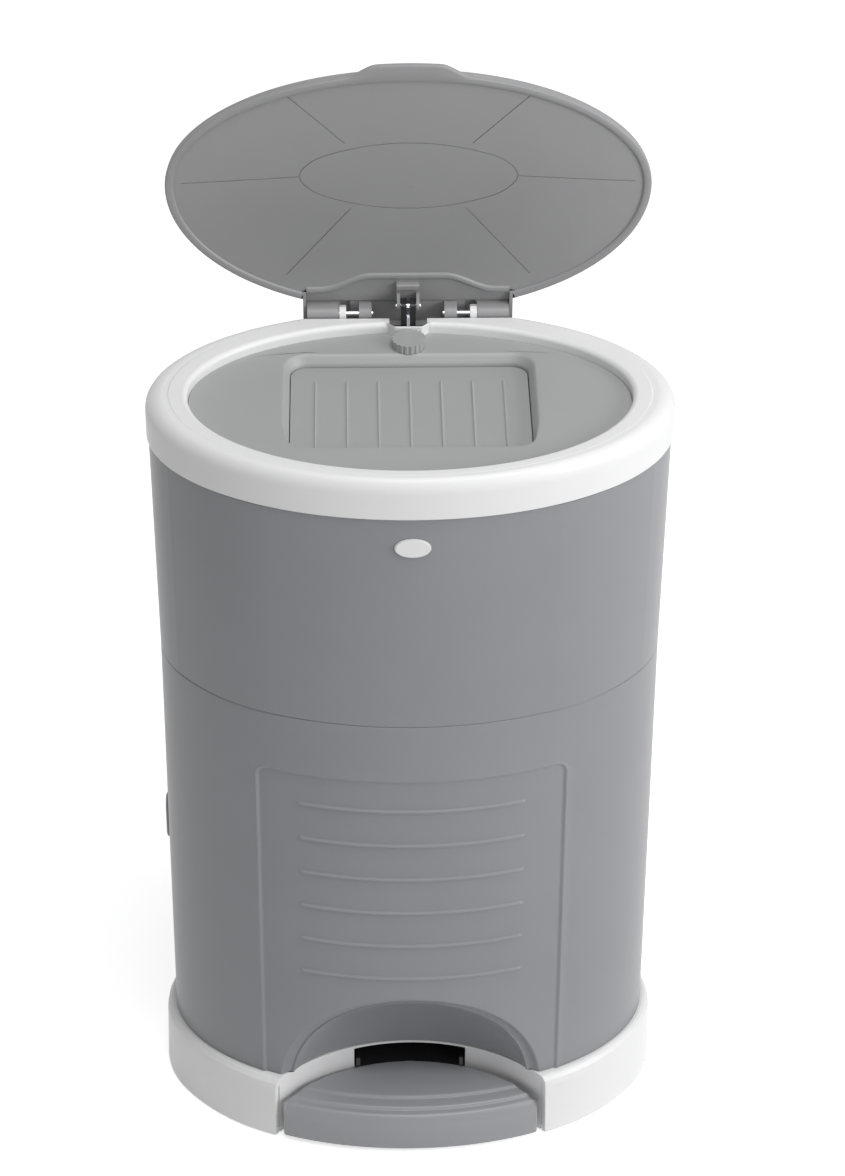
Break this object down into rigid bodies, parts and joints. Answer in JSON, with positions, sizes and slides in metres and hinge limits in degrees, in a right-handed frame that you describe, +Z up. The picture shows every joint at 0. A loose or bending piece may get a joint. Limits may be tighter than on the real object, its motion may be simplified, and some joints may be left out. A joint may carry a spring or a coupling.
{
  "type": "nappy bin",
  "caption": "Oval step-pedal nappy bin: a rod from the pedal lifts the lid, a sprung trap flap closes the chute, and a front door gives access to the bag.",
  "frame": {"origin": "middle of the footprint, on the floor", "axes": "+Z up, -Y towards the pedal and the door, +X to the right as seen from the front"},
  "size_m": [0.376, 0.2409, 0.8216],
  "materials": {
    "white_shell": "satin white",
    "grey_shell": "satin grey, faint moulding grain",
    "deck_grey": "fine matt grain",
    "lid_grey": "fine matt grain",
    "black_nylon": "moulded",
    "rubber": "soft",
    "steel": "plated",
    "chrome": "bright plated",
    "film_holder": "smooth"
  },
  "bodies": {
    "bin": {"base": "white_shell", "feet": "rubber", "base_screws": "steel", "inner_floor": "grey_shell", "rear_body": "grey_shell", "upper_body": "grey_shell", "name_plate": "white_shell", "collar": "white_shell", "deck": "deck_grey", "deck_screws": "steel", "chute": "white_shell", "cassette_shelf": "white_shell", "shelf_screws": "steel", "bag_cassette": "film_holder", "rod_cover": "grey_shell", "pedal_pin": "steel", "pedal_spring": "steel", "flap_pin": "steel", "flap_springs": "steel", "door_pins": "steel", "latch_frame": "black_nylon", "latch_spring": "steel"},
    "lid": {"lid_cover": "lid_grey", "lid_liner": "lid_grey", "lid_bracket": "lid_grey", "hinge_pins": "chrome", "crank_pin": "chrome"},
    "foot_pedal": {"pedal": "deck_grey", "pedal_screws": "steel", "pedal_lever": "black_nylon"},
    "rod": {"lift_rod": "chrome", "rod_foot": "black_nylon", "rod_yoke": "black_nylon"},
    "flap": {"trap_flap": "deck_grey"},
    "knob": {"lock_knob": "deck_grey", "knob_cam": "black_nylon"},
    "front_door": {"door": "grey_shell", "cutter_housing": "black_nylon", "cutter_blade": "steel"},
    "latch": {"latch_button": "grey_shell", "latch_retainer": "black_nylon"}
  },
  "joints": [
    {"name": "lid_hinge", "type": "hinge", "parent": "bin", "child": "lid", "pos_m": [0, 0.104, 0.611], "axis": [1, 0, 0], "range_deg": [0, 84]},
    {"name": "pedal_pivot", "type": "hinge", "parent": "bin", "child": "foot_pedal", "pos_m": [0, 0, 0.03], "axis": [1, 0, 0], "range_deg": [-12, 0]},
    {"name": "rod_slide", "type": "slide", "parent": "bin", "child": "rod", "axis": [0, 0, 1], "range_m": [-0.019, 0]},
    {"name": "flap_hinge", "type": "hinge", "parent": "bin", "child": "flap", "pos_m": [0, 0.0525, 0.5868], "axis": [1, 0, 0], "range_deg": [0, 80], "stiffness_Nm_per_rad": 0.06, "springref_deg": -68.75},
    {"name": "knob_turn", "type": "hinge", "parent": "bin", "child": "knob", "pos_m": [0, 0.0718, 0.6035], "axis": [0, 0, 1], "range_deg": [0, 90]},
    {"name": "door_hinge", "type": "hinge", "parent": "bin", "child": "front_door", "pos_m": [0.1741, 0, 0.2], "axis": [0, 0, 1], "range_deg": [0, 90]},
    {"name": "latch_push", "type": "slide", "parent": "bin", "child": "latch", "axis": [1, 0, 0], "range_m": [0, 0.0035], "stiffness_N_per_m": 400, "springref_m": -0.003}
  ],
  "couplings": [
    {"joint": "pedal_pivot", "follows": "lid_hinge", "ratio": -0.13908},
    {"joint": "rod_slide", "follows": "lid_hinge", "m_per_rad": -0.01279}
  ]
}
